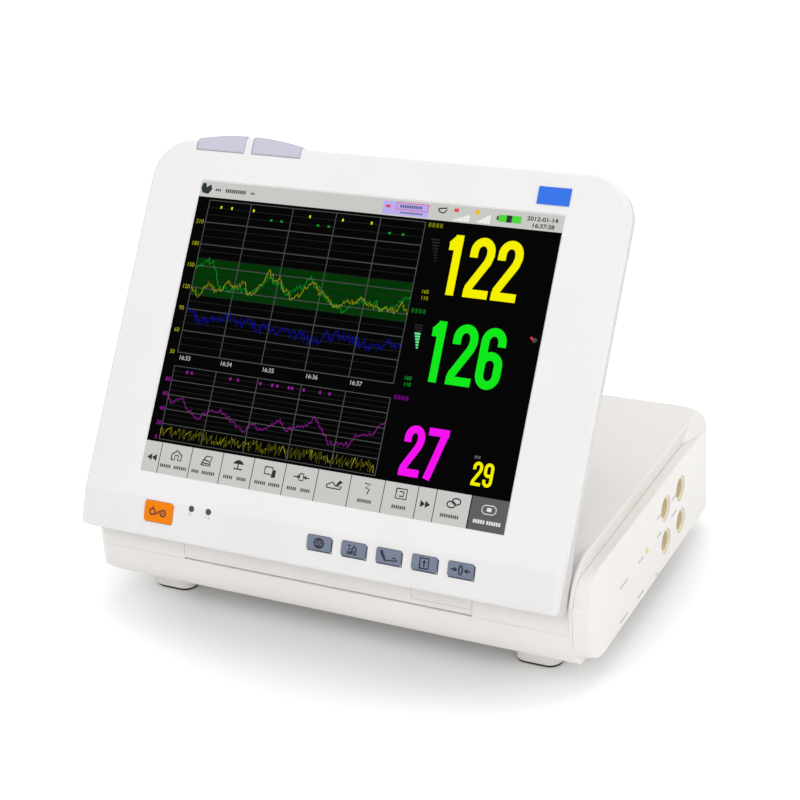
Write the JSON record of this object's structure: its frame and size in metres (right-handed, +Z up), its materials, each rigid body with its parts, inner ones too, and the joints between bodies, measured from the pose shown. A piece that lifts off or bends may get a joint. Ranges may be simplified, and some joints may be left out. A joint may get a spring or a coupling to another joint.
{
  "type": "cardiotocograph",
  "caption": "Cardiotocograph with a tilting touch display, a chart printer behind a drop-down door, alarm lamps and round probe sockets in its side",
  "frame": {"origin": "the middle of the whole part's footprint, on the floor", "axes": "X to the right as the user sees it, Y to the back, Z up"},
  "size_m": [0.3374, 0.2606, 0.2793],
  "materials": {
    "case_white": "fine satin moulding",
    "case_grey": "fine satin moulding",
    "display_glass": "smooth",
    "dark_metal": "satin",
    "panel_black": "moulded",
    "circuit_green": "lacquered",
    "lamp_clear": "frosted",
    "key_orange": "smooth",
    "key_grey": "smooth",
    "indicator_green": "smooth",
    "indicator_yellow": "smooth",
    "steel": "turned",
    "frame_grey": "moulded",
    "frame_dark": "moulded",
    "paper": "paper",
    "roller_rubber": "ground",
    "socket_cream": "moulded",
    "contact_gold": "plated",
    "foot_rubber": "soft"
  },
  "bodies": {
    "base": {"base_upper_housing": "case_white", "base_lower_housing": "case_white", "side_module_cover": "case_white", "hinge_knuckle_left": "steel", "hinge_knuckle_right": "steel", "printer_tray": "frame_grey", "paper_pack": "paper", "roller_bearings": "frame_grey", "print_head": "dark_metal", "battery_pack": "frame_dark", "battery_cover": "case_white", "main_board": "circuit_green", "power_supply": "circuit_green", "loudspeaker": "frame_dark", "mains_inlet": "frame_dark", "earth_stud": "steel", "rear_panel": "case_grey", "network_socket": "dark_metal", "foot_front_left": "case_white", "foot_front_right": "case_white", "foot_rear_left": "case_white", "foot_rear_right": "case_white", "foot_pads": "foot_rubber", "case_screws": "steel", "battery_cover_screws": "steel", "inlet_screws": "steel", "module_lamp_lens": "indicator_yellow", "probe_socket_1": "socket_cream", "socket_contacts_1": "contact_gold", "probe_socket_2": "socket_cream", "socket_contacts_2": "contact_gold", "probe_socket_3": "socket_cream", "socket_contacts_3": "contact_gold", "probe_socket_4": "socket_cream", "socket_contacts_4": "contact_gold"},
    "head": {"head_front_bezel": "case_white", "head_back_cover": "case_grey", "screen_glass": "display_glass", "display_panel": "panel_black", "display_board": "circuit_green", "alarm_lamp_left": "lamp_clear", "alarm_lamp_right": "lamp_clear", "alarm_lamp_board": "circuit_green", "indicator_lenses": "indicator_green", "control_board": "circuit_green", "head_screws": "steel", "hinge_pin_left": "steel", "hinge_pin_right": "steel"},
    "power_button": {"power_button": "key_orange"},
    "front_key_1": {"front_key_1": "key_grey"},
    "front_key_2": {"front_key_2": "key_grey"},
    "front_key_3": {"front_key_3": "key_grey"},
    "front_key_4": {"front_key_4": "key_grey"},
    "front_key_5": {"front_key_5": "key_grey"},
    "printer_door": {"printer_door": "case_white"},
    "door_release_key": {"door_release_key": "case_white"},
    "platen": {"platen_shaft": "steel", "platen_roller": "roller_rubber"}
  },
  "joints": [
    {"name": "head_tilt", "type": "hinge", "parent": "base", "child": "head", "pos_m": [-0.0047, -0.09383, 0.08498], "axis": [-1, 0, 0], "range_deg": [-4.27, 55.73]},
    {"name": "power_button_press", "type": "slide", "parent": "head", "child": "power_button", "axis": [0, 0.9187, -0.3951], "range_m": [0, 0.0008], "stiffness_N_per_m": 700, "springref_m": -0.0006},
    {"name": "front_key_1_press", "type": "slide", "parent": "head", "child": "front_key_1", "axis": [0, 0.9187, -0.3951], "range_m": [0, 0.0008], "stiffness_N_per_m": 700, "springref_m": -0.0006},
    {"name": "front_key_2_press", "type": "slide", "parent": "head", "child": "front_key_2", "axis": [0, 0.9187, -0.3951], "range_m": [0, 0.0008], "stiffness_N_per_m": 700, "springref_m": -0.0006},
    {"name": "front_key_3_press", "type": "slide", "parent": "head", "child": "front_key_3", "axis": [0, 0.9187, -0.3951], "range_m": [0, 0.0008], "stiffness_N_per_m": 700, "springref_m": -0.0006},
    {"name": "front_key_4_press", "type": "slide", "parent": "head", "child": "front_key_4", "axis": [0, 0.9187, -0.3951], "range_m": [0, 0.0008], "stiffness_N_per_m": 700, "springref_m": -0.0006},
    {"name": "front_key_5_press", "type": "slide", "parent": "head", "child": "front_key_5", "axis": [0, 0.9187, -0.3951], "range_m": [0, 0.0008], "stiffness_N_per_m": 700, "springref_m": -0.0006},
    {"name": "door_hinge", "type": "hinge", "parent": "base", "child": "printer_door", "pos_m": [-0.0047, -0.11367, 0.04575], "axis": [1, 0, 0], "range_deg": [0, 85]},
    {"name": "release_press", "type": "slide", "parent": "printer_door", "child": "door_release_key", "axis": [0, 1, 0], "range_m": [0, 0.0008], "stiffness_N_per_m": 600, "springref_m": -0.0006},
    {"name": "platen_turn", "type": "hinge", "parent": "base", "child": "platen", "pos_m": [-0.0047, -0.09487, 0.0664], "axis": [1, 0, 0], "continuous": true}
  ]
}
